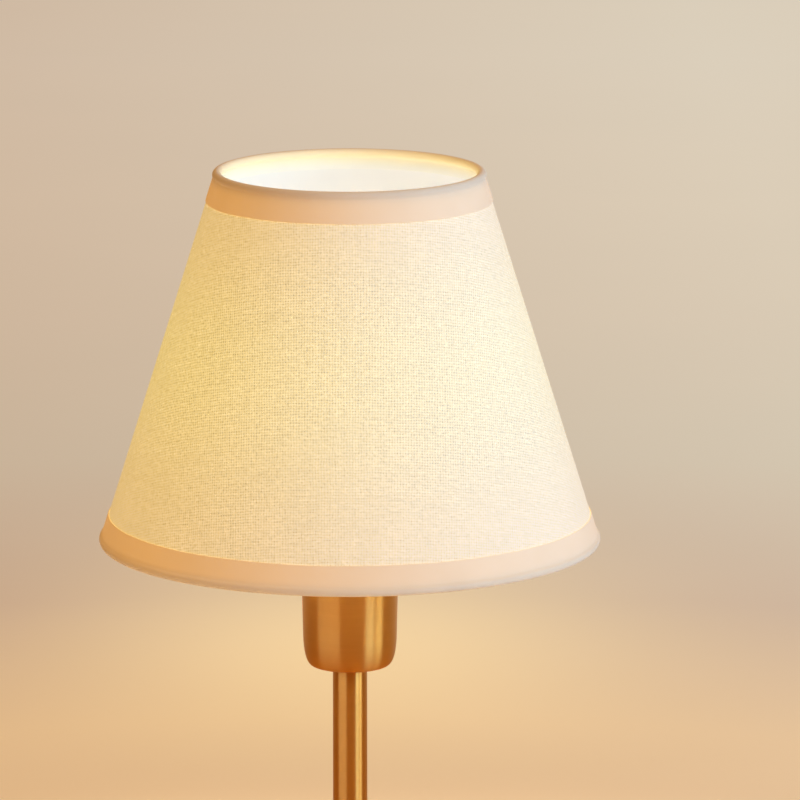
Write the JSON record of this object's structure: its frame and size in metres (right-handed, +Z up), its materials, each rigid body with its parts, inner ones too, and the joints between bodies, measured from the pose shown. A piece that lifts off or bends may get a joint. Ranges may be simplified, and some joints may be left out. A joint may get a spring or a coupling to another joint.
{
  "type": "table lamp",
  "caption": "Small table lamp with a tapered linen shade, a brushed brass cup and slim stem, a weighted round base, and a screw-in candle bulb.",
  "frame": {"origin": "centre of the felt's underside, on the table that the lamp stands on", "axes": "+Z up along the stem, +Y towards the cord's bush at the back, +X to the right seen from the front"},
  "size_m": [0.2028, 0.2028, 0.3701],
  "materials": {
    "felt": "pressed felt, dull",
    "brushed_brass": "brushed round its axis, satin lacquer",
    "cast_weight": "as cast",
    "dark_plastic": "moulded, matt",
    "zinc_steel": "zinc plated",
    "holder_plastic": "moulded, satin",
    "steatite": "unglazed",
    "contact_brass": "bright rolled strip",
    "blue_insulation": "extruded",
    "brown_insulation": "extruded",
    "white_enamel": "thin white paint",
    "linen": "plain weave, slubby",
    "shade_liner": "smooth, translucent",
    "binding_tape": "fine bias tape, smooth",
    "solder": "solder",
    "black_glass": "vitrified glass",
    "bulb_cap_metal": "nickel plated",
    "bulb_plastic": "moulded, glossy",
    "opal_diffuser": "opal",
    "board": "white solder mask"
  },
  "bodies": {
    "stand": {"felt_pad": "felt", "base_shell": "brushed_brass", "base_weight": "cast_weight", "cord_inlet_bush": "dark_plastic", "terminal_block": "dark_plastic", "terminal_block_screw": "zinc_steel", "threaded_rod": "zinc_steel", "base_nut": "zinc_steel", "base_washer": "zinc_steel", "stem_tube": "brushed_brass", "stem_foot_bush": "dark_plastic", "stem_head_bush": "dark_plastic", "socket_cup": "brushed_brass", "cup_lock_washer": "zinc_steel", "cup_nut": "zinc_steel", "holder_cap": "holder_plastic", "holder_grub_screw": "zinc_steel", "holder_sleeve": "holder_plastic", "holder_insulator": "steatite", "side_contact": "contact_brass", "centre_contact": "contact_brass", "terminal_screw_1": "zinc_steel", "terminal_screw_2": "zinc_steel", "screw_shell": "contact_brass", "neutral_lead": "blue_insulation", "live_lead": "brown_insulation"},
    "shade": {"fitter_ring": "white_enamel", "fitter_arm_1": "white_enamel", "fitter_arm_2": "white_enamel", "fitter_arm_3": "white_enamel", "shade_fabric": "linen", "shade_liner": "shade_liner", "bottom_wire_ring": "white_enamel", "top_wire_ring": "white_enamel", "bottom_binding": "binding_tape", "top_binding": "binding_tape"},
    "shade_ring": {"shade_ring": "holder_plastic"},
    "bulb_tip": {"bulb_tip": "solder"},
    "bulb": {"bulb_insulator": "black_glass", "bulb_cap": "bulb_cap_metal", "bulb_collar": "bulb_plastic", "bulb_globe": "opal_diffuser", "led_board": "board"}
  },
  "joints": [
    {"name": "shade_turn", "type": "hinge", "parent": "stand", "child": "shade", "pos_m": [0, 0, 0.2284], "axis": [0, 0, 1], "continuous": true},
    {"name": "shade_ring_turn", "type": "hinge", "parent": "stand", "child": "shade_ring", "pos_m": [0, 0, 0.2299], "axis": [0, 0, 1], "range_deg": [0, 1080]},
    {"name": "bulb_rise", "type": "slide", "parent": "stand", "child": "bulb_tip", "axis": [0, 0, 1], "range_m": [0, 0.0142]},
    {"name": "bulb_turn", "type": "hinge", "parent": "bulb_tip", "child": "bulb", "pos_m": [0, 0, 0.2137], "axis": [0, 0, 1], "range_deg": [0, 1800]}
  ],
  "couplings": [
    {"joint": "bulb_rise", "follows": "bulb_turn", "m_per_rad": 0.00044913}
  ]
}
